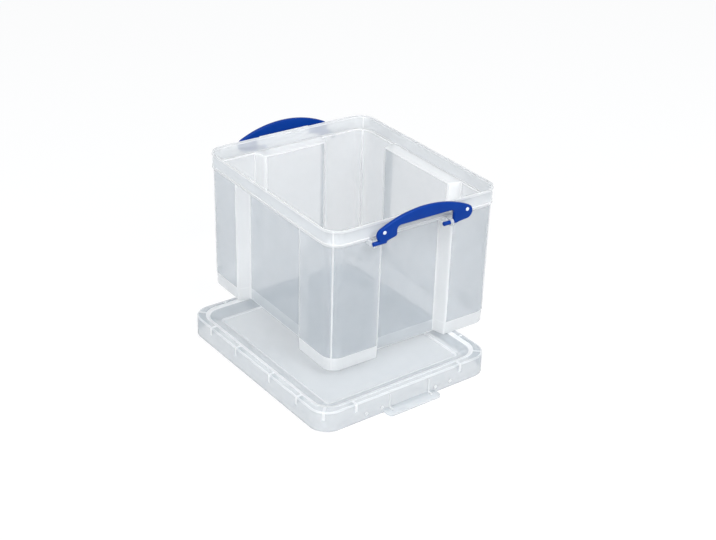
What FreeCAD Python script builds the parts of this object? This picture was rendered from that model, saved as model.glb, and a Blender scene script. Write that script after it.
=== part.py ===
"""Clear storage box: a tub with two swinging handles, standing on its own lid.

The lid lies on the floor, turned a little, and the tub stands on the lid's border, set back from its
near corner.  Each end of the tub carries a one-piece handle that turns on moulded pins.  The origin is
on the floor under the middle of the whole.
"""
import FreeCAD, Part
import math
import os
import re

import Sketcher
from FreeCAD import Placement, Rotation, Vector

# Driving sizes in millimetres and degrees.  All other sizes are worked out from these.
SIZES = {
    # Tub: outline, walls and corner pillars
    "rim_length": 440.0,
    "rim_width": 379.0,
    "rim_corner": 32.0,
    "rim_depth": 32.0,
    "tub_height": 289.0,
    "tub_wall": 2.4,
    "band_step": 1.8,
    "wall_draft": 1.2,
    "foot_height": 27.0,
    "foot_step": 0.8,
    "foot_draft": 1.0,
    "lip_proud": 1.2,
    "lip_height": 5.0,
    "recess_depth": 28.0,
    "recess_slant": 7.0,
    "side_recess_half": 104.0,
    "end_recess_half": 72.0,
    "pillar_round": 4.0,
    # Handles, their pins and the lugs that carry the pins
    "handle_half": 107.0,
    "handle_thick": 8.0,
    "handle_end": 14.0,
    "handle_round": 2.6,
    "handle_play": 10.0,
    "grip_tall": 24.0,
    "grip_corner": 8.0,
    "foot_width": 43.0,
    "foot_drop": 0.5,
    "toe_above": 6.0,
    "toe_below": 3.0,
    "stud_radius": 3.5,
    "stud_proud": 1.2,
    "stud_lift": 6.0,
    "pin_radius": 4.0,
    "pin_play": 0.05,
    "pin_tip": 14.0,
    "pin_root": 20.0,
    "lug_play": 1.5,
    "lug_thick": 6.0,
    "lug_wall": 2.4,
    "lug_root": 20.0,
    "lug_bite": 2.0,
    "clip_gap": 140.0,
    "clip_lean": 32.0,
    # Lid: skirt, border, sunken middle, ribs and end tongues
    "lid_height": 41.0,
    "lid_wall": 2.6,
    "lid_play": 1.5,
    "lid_round": 3.0,
    "lid_seat": 28.0,
    "border_width": 16.0,
    "border_slope": 28.0,
    "sunken_depth": 14.0,
    "sunken_corner": 8.0,
    "rib_thick": 2.2,
    "rib_near": 57.0,
    "rib_far": 146.0,
    "end_rib_half": 120.0,
    "tongue_reach": 23.0,
    "tongue_half": 60.0,
    "tongue_corner": 9.0,
    "tongue_lift": 3.0,
    "tongue_thick": 4.0,
    "tongue_play": 14.0,
    "catch_half": 45.0,
    "catch_thick": 3.0,
    "catch_tall": 28.0,
    "catch_proud": 1.4,
    "catch_reach": 12.0,
    "catch_foot": 2.5,
    "button_radius": 3.5,
    "button_lift": 12.5,
    "button_inner": 62.0,
    "button_outer": 97.0,
    "button_proud": 1.2,
    # Where the lid lies on the floor and the tub stands on it
    "lid_x": 45.06,
    "lid_y": -38.36,
    "lid_turn": 1.6,
    "tub_x": -48.94,
    "tub_y": 47.64,
}

# Sizes that follow from the driving ones, as expressions over their names
RIM_BOTTOM = "(tub_height - rim_depth)"
LIP_LENGTH = "(rim_length + 2 * lip_proud)"
LIP_WIDTH = "(rim_width + 2 * lip_proud)"
LIP_CORNER = "(rim_corner + lip_proud)"
CAVITY_LENGTH = f"({LIP_LENGTH} + 2 * lid_play)"
CAVITY_WIDTH = f"({LIP_WIDTH} + 2 * lid_play)"
CAVITY_CORNER = f"({LIP_CORNER} + lid_play)"
LID_LENGTH = f"({CAVITY_LENGTH} + 2 * lid_wall)"
LID_WIDTH = f"({CAVITY_WIDTH} + 2 * lid_wall)"
LID_CORNER = f"({CAVITY_CORNER} + lid_wall)"
PIVOT_X = f"({LID_LENGTH} / 2 + handle_play + handle_thick / 2)"
GRIP_UNDER = "(rim_depth - lid_seat + tongue_lift + tongue_thick + tongue_play)"
LUG_RADIUS = "(pin_radius + pin_play + lug_wall)"
FOOT_INNER = "(handle_half - foot_width)"

# A plain starting shape for each sketch, before its dimensions pull it to size
START_HALF_X = 100.0
START_HALF_Y = 80.0
START_CORNER = 20.0
QUARTER_TURN = math.pi / 2
# Each foot of a handle: its side and that side's sign, then along the pin where the lug starts, where the
# pin starts and how long it is.  Both pins point to the left.
LEFT_LUG = "(-handle_half - lug_play - lug_thick)"
RIGHT_LUG = f"({FOOT_INNER} - lug_play - lug_thick)"
FEET = (
    ("left", "-", LEFT_LUG, LEFT_LUG, "(lug_thick + lug_play + pin_root)"),
    ("right", "", RIGHT_LUG, f"({RIGHT_LUG} - pin_tip)", "(pin_tip + lug_thick + lug_play + pin_root / 2)"),
)
X_AXIS = Vector(1, 0, 0)
Y_AXIS = Vector(0, 1, 0)
Z_AXIS = Vector(0, 0, 1)
SKETCH_ORIGIN = (-1, 1)
SKETCH_UPRIGHT = (-2,)
RIB_STATIONS = ("-rib_far", "-rib_near", "rib_near", "rib_far")
# Each corner of the lid: its signs along and across, and which way its diagonal points
CORNERS = ((1, 1, 45), (-1, 1, 135), (-1, -1, 225), (1, -1, 315))

doc = FreeCAD.newDocument("storage_box")
sheet = doc.addObject("Spreadsheet::Sheet", "Sizes")


def fill_sheet():
    """Write every driving size into the sheet under its own alias."""
    for row, (name, number) in enumerate(SIZES.items(), start=1):
        sheet.set(f"A{row}", name)
        sheet.set(f"B{row}", str(number))
        sheet.setAlias(f"B{row}", name)
    doc.recompute()


def bind(target, prop, text):
    """Tie a property to an expression over the names of the driving sizes."""

    def on_sheet(found):
        return f"Sizes.{found[0]}" if found[0] in SIZES else found[0]

    target.setExpression(prop, re.sub(r"[a-z_]+", on_sheet, text))


def place(target, x="0", y="0", z="0", prop="Placement"):
    """Tie the three coordinates of a placement to expressions."""
    for axis, text in zip("xyz", (x, y, z)):
        bind(target, f"{prop}.Base.{axis}", text)


def origin_plane(body, role):
    """Find one of a body's own origin planes by its role."""
    return next(plane for plane in body.Origin.OriginFeatures if plane.Role == role)


def origin_axis(body, role):
    """Find one of a body's own origin axes by its role."""
    return next(axis for axis in body.Origin.OriginFeatures if axis.Role == role)


def attach(feature, body, role, x="0", y="0", z="0"):
    """Set a sketch or primitive on an origin plane, moved in the plane and along its normal."""
    feature.AttachmentSupport = (origin_plane(body, role), "")
    feature.MapMode = "FlatFace"
    place(feature, x, y, z, "AttachmentOffset")


def dimension(sketch, name, constraint, text):
    """Add a named dimension to a sketch and tie it to an expression."""
    index = sketch.addConstraint(constraint)
    sketch.renameConstraint(index, name)
    bind(sketch, f"Constraints.{name}", text)


def rounded_rectangle(body, name, lift, length, width, corner):
    """Sketch a rectangle with round corners, level and centred on the body's upright axis."""
    sketch = body.newObject("Sketcher::SketchObject", name)
    attach(sketch, body, "XY_Plane", z=lift)
    reach_x = START_HALF_X - START_CORNER
    reach_y = START_HALF_Y - START_CORNER
    arcs = []
    for turn, (side_x, side_y) in enumerate([(1, 1), (-1, 1), (-1, -1), (1, -1)]):
        circle = Part.Circle(Vector(side_x * reach_x, side_y * reach_y, 0), Z_AXIS, START_CORNER)
        arc = Part.ArcOfCircle(circle, turn * QUARTER_TURN, (turn + 1) * QUARTER_TURN)
        arcs.append(sketch.addGeometry(arc))
    for turn, arc in enumerate(arcs):
        after = arcs[(turn + 1) % 4]
        ends = sketch.Geometry[arc].EndPoint, sketch.Geometry[after].StartPoint
        line = sketch.addGeometry(Part.LineSegment(*ends))
        sketch.addConstraint(Sketcher.Constraint("Tangent", arc, 2, line, 1))
        sketch.addConstraint(Sketcher.Constraint("Tangent", line, 2, after, 1))
        sketch.addConstraint(Sketcher.Constraint("Vertical" if turn % 2 else "Horizontal", line))
    for arc in arcs[1:]:
        sketch.addConstraint(Sketcher.Constraint("Equal", arcs[0], arc))
    sketch.addConstraint(Sketcher.Constraint("Symmetric", arcs[0], 3, arcs[2], 3, *SKETCH_ORIGIN))
    across = Sketcher.Constraint("DistanceX", arcs[1], 3, arcs[0], 3, 2 * reach_x)
    deep = Sketcher.Constraint("DistanceY", arcs[3], 3, arcs[0], 3, 2 * reach_y)
    dimension(sketch, "corner", Sketcher.Constraint("Radius", arcs[0], START_CORNER), corner)
    dimension(sketch, "across", across, f"{length} - 2 * {corner}")
    dimension(sketch, "deep", deep, f"{width} - 2 * {corner}")
    return sketch


def loft(body, name, low, high):
    """Loft a body between two level outlines."""
    feature = body.newObject("PartDesign::AdditiveLoft", name)
    feature.Profile = low
    feature.Sections = [high]
    feature.Ruled = True


def pad(body, name, sketch, height):
    """Pad an outline upward."""
    feature = body.newObject("PartDesign::Pad", name)
    feature.Profile = sketch
    bind(feature, "Length", height)


def upright_block(name, lift, length, width, corner, height):
    """Make a straight-sided block with round corners."""
    body = doc.addObject("PartDesign::Body", name)
    pad(body, f"{name}_pad", rounded_rectangle(body, f"{name}_outline", lift, length, width, corner), height)
    return body


def fillet(body, name, radius, wanted):
    """Round those edges of a body's latest feature that a test picks out."""
    doc.recompute()
    base = body.Tip
    names = [f"Edge{index}" for index, edge in enumerate(base.Shape.Edges, start=1) if wanted(edge)]
    feature = body.newObject("PartDesign::Fillet", name)
    feature.Base = (base, names)
    bind(feature, "Radius", radius)


def size(name):
    """Read a driving size back from the sheet as a plain number."""
    return float(sheet.get(name))


# Tub


def recess_cut(body, name, turn, face, inset, half, top):
    """Cut the tapered recess between two corner pillars, from the floor up to a ledge."""
    sketch = body.newObject("Sketcher::SketchObject", f"{name}_sketch")
    attach(sketch, body, "XY_Plane")
    sketch.AttachmentOffset = Placement(Vector(), Rotation(Z_AXIS, turn))
    points = [
        Vector(-START_HALF_X, START_HALF_Y, 0),
        Vector(START_HALF_X, START_HALF_Y, 0),
        Vector(START_HALF_X + START_CORNER, 2 * START_HALF_Y, 0),
        Vector(-START_HALF_X - START_CORNER, 2 * START_HALF_Y, 0),
    ]
    ends = zip(points, points[1:] + points[:1])
    inner, right, outer, left = [sketch.addGeometry(Part.LineSegment(*pair)) for pair in ends]
    for line, after in ((inner, right), (right, outer), (outer, left), (left, inner)):
        sketch.addConstraint(Sketcher.Constraint("Coincident", line, 2, after, 1))
    for line in (inner, outer):
        sketch.addConstraint(Sketcher.Constraint("Symmetric", line, 1, line, 2, *SKETCH_UPRIGHT))
    inner_at = f"({face} - recess_depth - {inset})"
    outer_at = f"({face} + rim_corner)"
    inner_half = f"({half} + {inset})"
    outer_half = f"({inner_half} + recess_slant * ({outer_at} - {inner_at}) / recess_depth)"
    across = Sketcher.Constraint("DistanceX", inner, 1, inner, 2, 2 * START_HALF_X)
    spread = Sketcher.Constraint("DistanceX", outer, 2, outer, 1, 2 * START_HALF_X)
    near = Sketcher.Constraint("DistanceY", *SKETCH_ORIGIN, inner, 1, START_HALF_Y)
    far = Sketcher.Constraint("DistanceY", *SKETCH_ORIGIN, outer, 1, 2 * START_HALF_Y)
    dimension(sketch, "across", across, f"2 * {inner_half}")
    dimension(sketch, "spread", spread, f"2 * {outer_half}")
    dimension(sketch, "near", near, inner_at)
    dimension(sketch, "far", far, outer_at)
    feature = body.newObject("PartDesign::Pocket", name)
    feature.Profile = sketch
    feature.Reversed = True
    bind(feature, "Length", top)
    return feature


def tub_layer(name, inset, low, high):
    """Make one drafted layer of the tub between two levels, recessed between its corner pillars.

    A level is its height and how far its outline lies inside the rim.
    """
    body = doc.addObject("PartDesign::Body", name)
    outlines = []
    for tag, (lift, shrink) in (("low", low), ("high", high)):
        length = f"(rim_length - 2 * ({shrink} + {inset}))"
        width = f"(rim_width - 2 * ({shrink} + {inset}))"
        corner = f"(rim_corner - {shrink} - {inset})"
        outlines.append(rounded_rectangle(body, f"{name}_{tag}", lift, length, width, corner))
    loft(body, f"{name}_loft", *outlines)
    side = recess_cut(body, f"{name}_side", 0, "rim_width / 2", inset, "side_recess_half", high[0])
    end = recess_cut(body, f"{name}_end", -90, "rim_length / 2", inset, "end_recess_half", high[0])
    both = body.newObject("PartDesign::PolarPattern", f"{name}_opposite")
    both.Originals = [side, end]
    both.Axis = (origin_axis(body, "Z_Axis"), [""])
    both.Angle = 360
    both.Occurrences = 2
    body.Tip = both
    fillet(body, f"{name}_rounds", "pillar_round", is_pillar_edge)
    return body


def tub_form(name, inset, floor, ledge):
    """Make the tub's stepped form, drawn in by an inset: feet, walls and the wider rim band."""
    shin = "(band_step + wall_draft)"
    ankle = f"({shin} + foot_step)"
    sole = f"({ankle} + foot_draft)"
    feet = tub_layer(f"{name}_feet", inset, (floor, sole), ("foot_height", ankle))
    walls = tub_layer(f"{name}_walls", inset, ("foot_height", shin), (ledge, "band_step"))
    length, width = f"(rim_length - 2 * {inset})", f"(rim_width - 2 * {inset})"
    corner = f"(rim_corner - {inset})"
    band = upright_block(f"{name}_band", ledge, length, width, corner, f"tub_height - {ledge}")
    return feet, walls, band


def is_pillar_edge(edge):
    """Tell whether an edge runs up a corner pillar beside one of the recesses."""
    low, high = edge.Vertexes[0].Point, edge.Vertexes[-1].Point
    rise = abs(high.z - low.z)
    lean = math.hypot(high.x - low.x, high.y - low.y)
    middle = (low + high) / 2
    beside_side = abs(middle.x) < size("rim_length") / 2 - size("rim_corner") - size("recess_depth")
    beside_end = abs(middle.y) < size("rim_width") / 2 - size("rim_corner") - size("recess_depth")
    return rise > size("rim_depth") / 2 and lean < size("recess_slant") and (beside_side or beside_end)


def fuse(name, pieces):
    """Join several solids into one."""
    joined = doc.addObject("Part::MultiFuse", name)
    joined.Shapes = pieces
    return joined


def cut(name, base, tool):
    """Cut one solid out of another."""
    result = doc.addObject("Part::Cut", name)
    result.Base = base
    result.Tool = tool
    return result


def cross_rod(name, radius, low, length, spin=0):
    """Make a rod along the pins of one end, turned about its own length."""
    rod = doc.addObject("Part::Cylinder", name)
    rod.Placement = Placement(Vector(), Rotation(X_AXIS, -90).multiply(Rotation(Z_AXIS, spin)))
    bind(rod, "Radius", radius)
    bind(rod, "Height", length)
    place(rod, PIVOT_X, low, RIM_BOTTOM)
    return rod


def make_lugs():
    """Make the lugs of one end of the tub, one for each foot: an eye on an arm."""
    pieces = []
    for side, _, lug, _, _ in FEET:
        arm = doc.addObject("Part::Box", f"arm_{side}")
        bind(arm, "Length", f"{PIVOT_X} - rim_length / 2 + lug_root")
        bind(arm, "Width", "lug_thick")
        bind(arm, "Height", f"{LUG_RADIUS} + lug_bite")
        place(arm, "rim_length / 2 - lug_root", lug, f"{RIM_BOTTOM} - {LUG_RADIUS}")
        pieces += [arm, cross_rod(f"eye_{side}", LUG_RADIUS, lug, "lug_thick")]
    return fuse("lugs", pieces)


def make_bores():
    """Make what is bored out of the lugs of one end: the pins' holes, and the left eye's open front."""
    bores = []
    for side, _, _, pin, length in FEET:
        bores.append(cross_rod(f"bore_{side}", "pin_radius + pin_play", pin, length))
    first = -size("clip_lean") - size("clip_gap") / 2
    low, length = f"({LEFT_LUG} - lug_play)", "(lug_thick + 2 * lug_play)"
    front = cross_rod("clip_front", f"({LUG_RADIUS} + lug_wall)", low, length, first)
    bind(front, "Angle", "clip_gap")
    return fuse("bores", [*bores, front])


def both_ends(name, source):
    """Join a solid of one end with its half turn at the other end, made of two mirror images."""
    image = source
    for axis, normal in (("x", X_AXIS), ("y", Y_AXIS)):
        mirror = doc.addObject("Part::Mirroring", f"{name}_image_{axis}")
        mirror.Source = image
        mirror.Normal = normal
        image = mirror
    return fuse(f"{name}_both", [source, image])


def make_tub():
    """Make the tub: outer form, rim lips and lugs, hollowed out and bored for the handle pins."""
    outer = tub_form("outer", "0", "0", RIM_BOTTOM)
    band = outer[-1]
    for tag, lift in (("low", RIM_BOTTOM), ("high", "(tub_height - lip_height)")):
        ring = rounded_rectangle(band, f"lip_{tag}_outline", lift, LIP_LENGTH, LIP_WIDTH, LIP_CORNER)
        pad(band, f"lip_{tag}", ring, "lip_height")
    hollow = tub_form("hollow", "tub_wall", "tub_wall", f"({RIM_BOTTOM} + tub_wall)")
    solid = fuse("tub_solid", [*outer, both_ends("lugs", make_lugs())])
    shell = cut("tub_shell", solid, fuse("tub_hollow", hollow))
    return cut("tub", shell, both_ends("bores", make_bores()))


# Handles


def handle_outline(body):
    """Sketch the crescent handle face-on: arched top, level grip, round feet with slanted soles."""
    sketch = body.newObject("Sketcher::SketchObject", f"{body.Name}_outline")
    attach(sketch, body, "YZ_Plane", "0", RIM_BOTTOM, f"{PIVOT_X} - handle_thick / 2")
    half, end = size("handle_half"), size("handle_end")
    inner = half - size("foot_width")
    corner, drop, tall = size("grip_corner"), size("foot_drop"), size("grip_tall")
    under = corner + size("toe_above") + size("pin_radius")
    crown = under + tall
    add = sketch.addGeometry
    grip = add(Part.LineSegment(Vector(corner - inner, under, 0), Vector(inner - corner, under, 0)))
    top_circle = Part.Circle(Vector(0, -crown, 0), Z_AXIS, 2 * crown)
    top = add(Part.ArcOfCircle(top_circle, QUARTER_TURN / 2, 3 * QUARTER_TURN / 2))
    crest = add(Part.Point(Vector(0, crown, 0)), True)
    sketch.addConstraint(Sketcher.Constraint("PointOnObject", crest, 1, *SKETCH_UPRIGHT))
    sketch.addConstraint(Sketcher.Constraint("PointOnObject", crest, 1, top))
    sketch.addConstraint(Sketcher.Constraint("Horizontal", grip))
    rounds = []
    for side in (1, -1):
        bend_circle = Part.Circle(Vector(side * (inner - corner), under - corner, 0), Z_AXIS, corner)
        end_circle = Part.Circle(Vector(side * (half - end), end - drop, 0), Z_AXIS, end)
        first = 0 if side > 0 else QUARTER_TURN
        bend = add(Part.ArcOfCircle(bend_circle, first, first + QUARTER_TURN))
        first = -QUARTER_TURN if side > 0 else QUARTER_TURN
        knob = add(Part.ArcOfCircle(end_circle, first, first + 2 * QUARTER_TURN))
        toe = Vector(side * inner, -size("toe_below") if side > 0 else size("toe_above"), 0)
        leg = add(Part.LineSegment(Vector(side * inner, under - corner, 0), toe))
        sole = add(Part.LineSegment(toe, Vector(side * (half - end), -drop, 0)))
        bend_grip, bend_leg = (2, 1) if side > 0 else (1, 2)
        knob_sole, knob_top = (1, 2) if side > 0 else (2, 1)
        joins = [
            ("Tangent", grip, 2 if side > 0 else 1, bend, bend_grip),
            ("Tangent", bend, bend_leg, leg, 1),
            ("Coincident", leg, 2, sole, 1),
            ("Tangent", sole, 2, knob, knob_sole),
            ("Tangent", knob, knob_top, top, 1 if side > 0 else 2),
            ("Vertical", leg),
        ]
        for join in joins:
            sketch.addConstraint(Sketcher.Constraint(*join))
        rounds.append((bend, knob, leg))
    (bend, knob, leg), (far_bend, far_knob, far_leg) = rounds
    sketch.addConstraint(Sketcher.Constraint("Equal", bend, far_bend))
    sketch.addConstraint(Sketcher.Constraint("Equal", knob, far_knob))
    sketch.addConstraint(Sketcher.Constraint("Symmetric", knob, 3, far_knob, 3, *SKETCH_UPRIGHT))
    dimension(sketch, "bend", Sketcher.Constraint("Radius", bend, corner), "grip_corner")
    dimension(sketch, "knob", Sketcher.Constraint("Radius", knob, end), "handle_end")
    reach = Sketcher.Constraint("DistanceX", *SKETCH_ORIGIN, knob, 3, half - end)
    inside = Sketcher.Constraint("DistanceX", *SKETCH_ORIGIN, bend, 3, inner - corner)
    far_inside = Sketcher.Constraint("DistanceX", far_bend, 3, *SKETCH_ORIGIN, inner - corner)
    lift = Sketcher.Constraint("DistanceY", *SKETCH_ORIGIN, knob, 3, end - drop)
    below = Sketcher.Constraint("DistanceY", leg, 2, *SKETCH_ORIGIN, size("toe_below"))
    above = Sketcher.Constraint("DistanceY", *SKETCH_ORIGIN, far_leg, 2, size("toe_above"))
    opening = Sketcher.Constraint("DistanceY", *SKETCH_ORIGIN, grip, 1, under)
    height = Sketcher.Constraint("DistanceY", *SKETCH_ORIGIN, crest, 1, crown)
    dimension(sketch, "reach", reach, "handle_half - handle_end")
    dimension(sketch, "inside", inside, f"{FOOT_INNER} - grip_corner")
    dimension(sketch, "far_inside", far_inside, f"{FOOT_INNER} - grip_corner")
    dimension(sketch, "lift", lift, "handle_end - foot_drop")
    dimension(sketch, "below", below, "toe_below")
    dimension(sketch, "above", above, "toe_above")
    dimension(sketch, "opening", opening, GRIP_UNDER)
    dimension(sketch, "crown", height, f"{GRIP_UNDER} + grip_tall")
    return sketch


def is_face_edge(edge):
    """Tell whether an edge outlines one of the handle's two flat faces."""
    box = edge.BoundBox
    return box.XLength < size("pin_play")


def make_handle(name):
    """Make one handle: a rounded crescent plate with its pins and a stud near each end."""
    body = doc.addObject("PartDesign::Body", name)
    pad(body, f"{name}_plate", handle_outline(body), "handle_thick")
    fillet(body, f"{name}_rounds", "handle_round", is_face_edge)
    for side, sign, _, low, length in FEET:
        pin = body.newObject("PartDesign::AdditiveCylinder", f"{name}_pin_{side}")
        attach(pin, body, "XZ_Plane", PIVOT_X, RIM_BOTTOM, f"-({low} + {length})")
        bind(pin, "Radius", "pin_radius")
        bind(pin, "Height", length)
        stud = body.newObject("PartDesign::AdditiveCylinder", f"{name}_stud_{side}")
        across = f"{sign}(handle_half - handle_end)"
        up = f"{RIM_BOTTOM} + handle_end - foot_drop + stud_lift"
        attach(stud, body, "YZ_Plane", across, up, PIVOT_X)
        bind(stud, "Radius", "stud_radius")
        bind(stud, "Height", "handle_thick / 2 + stud_proud")
    return body


# Lid


def sunken_form(name, drop):
    """Make the solid of the lid's sunken middle, lowered by a drop."""
    body = doc.addObject("PartDesign::Body", name)
    outlines = []
    for tag, lift, slope in (("floor", "sunken_depth", "border_slope"), ("mouth", "0", "0")):
        draw_in = f"(border_width + {slope})"
        outlines.append(rounded_rectangle(
            body, f"{name}_{tag}", f"(lid_height - {lift} - {drop})",
            f"({LID_LENGTH} - 2 * {draw_in})", f"({LID_WIDTH} - 2 * {draw_in})",
            f"(sunken_corner + border_slope - {slope})",
        ))
    loft(body, f"{name}_loft", *outlines)
    return body


def is_top_edge(edge):
    """Tell whether an edge outlines the top of the lid."""
    return edge.BoundBox.ZMin > size("lid_height") - size("pin_play")


def bar(name, length, width, height, x, y, z):
    """Make a level bar, centred on a point in plan and standing on a height."""
    box = doc.addObject("Part::Box", name)
    bind(box, "Length", length)
    bind(box, "Width", width)
    bind(box, "Height", height)
    place(box, f"{x} - ({length}) / 2", f"{y} - ({width}) / 2", z)
    return box


def make_lid_block():
    """Make the lid's outer form, with its tongues, catches and buttons on both ends."""
    block = upright_block("lid_block", "0", LID_LENGTH, LID_WIDTH, LID_CORNER, "lid_height")
    fillet(block, "skirt_round", "lid_round", is_top_edge)
    span = f"({LID_LENGTH} + 2 * tongue_reach)"
    width = "(2 * tongue_half)"
    tongues = upright_block("tongues", "tongue_lift", span, width, "tongue_corner", "tongue_thick")
    pieces = [block, tongues]
    for side, sign in (("left", ""), ("right", "-")):
        catch = ("catch_proud", "catch_tall"), ("catch_reach", "catch_foot")
        for proud, tall in catch:
            pieces.append(bar(f"{proud}_{side}", f"{LID_LENGTH} + 2 * {proud}", "catch_thick", tall,
                              "0", f"{sign}catch_half", "tongue_lift + tongue_thick"))
        for station in ("button_inner", "button_outer"):
            button = doc.addObject("Part::Cylinder", f"{station}_{side}")
            button.Placement = Placement(Vector(), Rotation(Y_AXIS, 90))
            bind(button, "Radius", "button_radius")
            bind(button, "Height", f"{LID_LENGTH} + 2 * button_proud")
            place(button, f"-{LID_LENGTH} / 2 - button_proud", f"{sign}{station}", "button_lift")
            pieces.append(button)
    return fuse("lid_solid", pieces)


def corner_rib(along, across, turn, height):
    """Make the rib of one corner of the lid, from the middle of the corner's round outwards."""
    rib = doc.addObject("Part::Box", f"corner_rib_{turn}")
    rib.Placement = Placement(Vector(), Rotation(Z_AXIS, turn))
    bind(rib, "Length", LID_CORNER)
    bind(rib, "Width", "rib_thick")
    bind(rib, "Height", height)
    aside = "rib_thick / sqrt(8)"
    x = f"{along} * ({LID_LENGTH} / 2 - {LID_CORNER}) + {across} * {aside}"
    y = f"{across} * ({LID_WIDTH} / 2 - {LID_CORNER}) - {along} * {aside}"
    place(rib, x, y, "lid_seat")
    return rib


def make_lid_hollow():
    """Make the space under the lid, less the ribs that stiffen the border and seat on the rim."""
    top = "lid_height - lid_wall"
    space = upright_block("lid_space", "0", CAVITY_LENGTH, CAVITY_WIDTH, CAVITY_CORNER, top)
    ribs = [sunken_form("island", "lid_wall")]
    height = "lid_height - lid_seat"
    for step, station in enumerate(RIB_STATIONS):
        ribs.append(bar(f"side_rib_{step}", "rib_thick", LID_WIDTH, height, station, "0", "lid_seat"))
    for side, sign in (("left", ""), ("right", "-")):
        deep = f"{sign}end_rib_half"
        ribs.append(bar(f"end_rib_{side}", LID_LENGTH, "rib_thick", height, "0", deep, "lid_seat"))
    ribs += [corner_rib(*corner, height) for corner in CORNERS]
    return cut("lid_hollow", space, fuse("lid_ribs", ribs))


def make_lid():
    """Make the lid: outer form less its sunken middle and the space beneath."""
    tools = fuse("lid_tools", [sunken_form("sunken", "0"), make_lid_hollow()])
    return cut("lid", make_lid_block(), tools)


def settle(piece, x, y, z, turn):
    """Put a finished piece where it rests, turned about its own upright axis."""
    piece.Placement = Placement(Vector(), Rotation(Z_AXIS, 1))
    place(piece, x, y, z)
    bind(piece, "Placement.Rotation.Angle", turn)


def check(nodes):
    """Stop if any object failed or any finished piece is empty or invalid."""
    failed = [item.Name for item in doc.Objects if {"Invalid", "Error"} & set(item.State)]
    failed += [node.Label for node in nodes if node.Shape.isNull() or not node.Shape.isValid()]
    if failed:
        raise RuntimeError(f"failed: {failed}")


def main():
    """Build the four pieces, put them where they rest and write each one out."""
    fill_sheet()
    lid, tub = make_lid(), make_tub()
    front, rear = make_handle("front_handle"), make_handle("rear_handle")
    settle(lid, "lid_x", "lid_y", "0", "lid_turn")
    for piece, turn in ((tub, "0"), (front, "0"), (rear, "180")):
        settle(piece, "tub_x", "tub_y", "lid_height", turn)
    doc.recompute()
    nodes = [lid, tub, front, rear]
    check(nodes)
    os.makedirs("parts", exist_ok=True)
    for node in nodes:
        node.Shape.exportStep(f"parts/{node.Label}.step")


main()
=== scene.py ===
"""Looks of a clear storage box that stands open on its own lid.

Each moulding is modelled again over its CAD node, with the wall thickness, rounded edges and small
ribs of the real one, and dressed with a procedural plastic.  Sizes are in millimetres until a piece
is put in its place.
"""
from __future__ import annotations

import logging
import math
from dataclasses import dataclass, replace
from enum import Enum
from typing import Any, Iterable, Sequence

import bmesh
import bpy
from bmesh.types import BMEdge, BMFace, BMVert
from mathutils import Matrix, Vector

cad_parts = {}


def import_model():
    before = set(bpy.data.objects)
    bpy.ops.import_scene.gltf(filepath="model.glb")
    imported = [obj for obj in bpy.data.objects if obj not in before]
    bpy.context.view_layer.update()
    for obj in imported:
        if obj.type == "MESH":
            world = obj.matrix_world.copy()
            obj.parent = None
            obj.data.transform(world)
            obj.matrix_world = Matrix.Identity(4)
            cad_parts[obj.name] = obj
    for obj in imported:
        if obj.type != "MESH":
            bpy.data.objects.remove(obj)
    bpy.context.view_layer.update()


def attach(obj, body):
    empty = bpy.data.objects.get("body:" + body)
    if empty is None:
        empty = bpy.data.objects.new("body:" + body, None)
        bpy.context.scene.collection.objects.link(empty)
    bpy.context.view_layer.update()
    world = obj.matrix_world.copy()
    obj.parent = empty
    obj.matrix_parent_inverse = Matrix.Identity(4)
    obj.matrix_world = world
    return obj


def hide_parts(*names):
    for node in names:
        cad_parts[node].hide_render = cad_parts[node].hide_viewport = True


LOG = logging.getLogger("storage_box")
MM = 0.001
ORIGIN = Vector((0.0, 0.0, 0.0))
X_AXIS = Vector((1.0, 0.0, 0.0))
Y_AXIS = Vector((0.0, 1.0, 0.0))
Z_AXIS = Vector((0.0, 0.0, 1.0))
SIDES = (-1.0, 1.0)
CORNERS = ((1.0, 1.0), (-1.0, 1.0), (-1.0, -1.0), (1.0, -1.0))
# The face attribute of whiteness and its full value: the plastic's own milkiness, and also painted
# highlights, glints and painted light.
MILK_AND_LIGHT = "milk_and_light"
FULL_MILK_AND_LIGHT = 1.0
CLEAR_LAYERS = 64
Colour = tuple[float, float, float, float]
Socket = bpy.types.NodeSocket
Paint = Colour | Socket


class Slot(Enum):
    """The record's material slots."""

    CLEAR = "clear_plastic"
    BLUE = "blue_plastic"


class End(Enum):
    """The two ends of the tub that carry a handle, with each one's turn about the tub's middle."""

    FRONT = 0.0
    REAR = 180.0


# Shaders


class Value:
    """A number in a shader: arithmetic on it adds Math nodes."""

    def __init__(self, shader: Shader, socket: Socket) -> None:
        """Keep the shader that new nodes go into and the socket that carries the number."""
        self.shader = shader
        self.socket = socket

    def _math(self, operation: str, first: Value | float, second: Value | float) -> Value:
        """Add one Math node and give its result."""
        node = self.shader.node("ShaderNodeMath", {"operation": operation}, {0: first, 1: second})
        return self.shader.value(node)

    def __add__(self, other: Value | float) -> Value:
        """Add a number."""
        return self._math("ADD", self, other)

    def __radd__(self, other: float) -> Value:
        """Add to a plain number."""
        return self._math("ADD", other, self)

    def __sub__(self, other: Value | float) -> Value:
        """Take a number away."""
        return self._math("SUBTRACT", self, other)

    def __rsub__(self, other: float) -> Value:
        """Take away from a plain number."""
        return self._math("SUBTRACT", other, self)

    def __mul__(self, other: Value | float) -> Value:
        """Multiply by a number."""
        return self._math("MULTIPLY", self, other)

    def __rmul__(self, other: float) -> Value:
        """Multiply a plain number."""
        return self._math("MULTIPLY", other, self)

    def __pow__(self, other: float) -> Value:
        """Raise to a power."""
        return self._math("POWER", self, other)


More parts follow.
